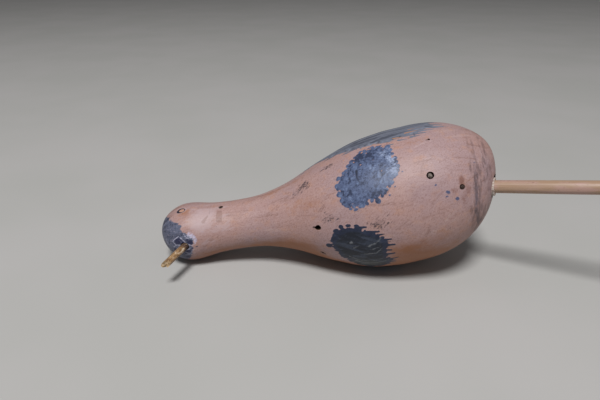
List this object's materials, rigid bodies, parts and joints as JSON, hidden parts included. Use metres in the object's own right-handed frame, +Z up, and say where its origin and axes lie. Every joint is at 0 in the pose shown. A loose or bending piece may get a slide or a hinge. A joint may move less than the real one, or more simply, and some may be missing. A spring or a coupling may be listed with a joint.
{
  "type": "stick-up bird decoy",
  "caption": "Carved and painted wooden bird decoy with a peg beak, lying on its side on a pull-out, turning ground stake.",
  "frame": {"origin": "middle of the footprint of the whole decoy, on the surface it lies on", "axes": "+Z up as it lies on its side; +X from the head towards the stake end; the bird's front, where the beak points, faces -Y"},
  "size_m": [0.4626, 0.1884, 0.1244],
  "materials": {
    "body_paint": "worn matt terracotta-pink paint with slate-blue dabbed patches over carved softwood",
    "beak_wood": "whittled, unpainted, rubbed",
    "stake_wood": "smooth handled dowel, honey coloured",
    "sleeve_wood": "pale bare wood end grain",
    "rusty_iron": "rusted",
    "lead": "dull grey oxide"
  },
  "bodies": {
    "decoy_body": {"carved_body": "body_paint", "beak_peg": "beak_wood", "lodged_shot": "lead", "tail_brad": "rusty_iron"},
    "sleeve": {"stake_sleeve": "sleeve_wood"},
    "stake": {"stake": "stake_wood"}
  },
  "joints": [
    {"name": "stake_pull", "type": "slide", "parent": "decoy_body", "child": "sleeve", "axis": [0.8679, -0.4534, 0.203], "range_m": [0, 0.045]},
    {"name": "stake_turn", "type": "hinge", "parent": "sleeve", "child": "stake", "pos_m": [0.0156, 0.01903, 0.07319], "axis": [0.8679, -0.4534, 0.203], "continuous": true}
  ]
}
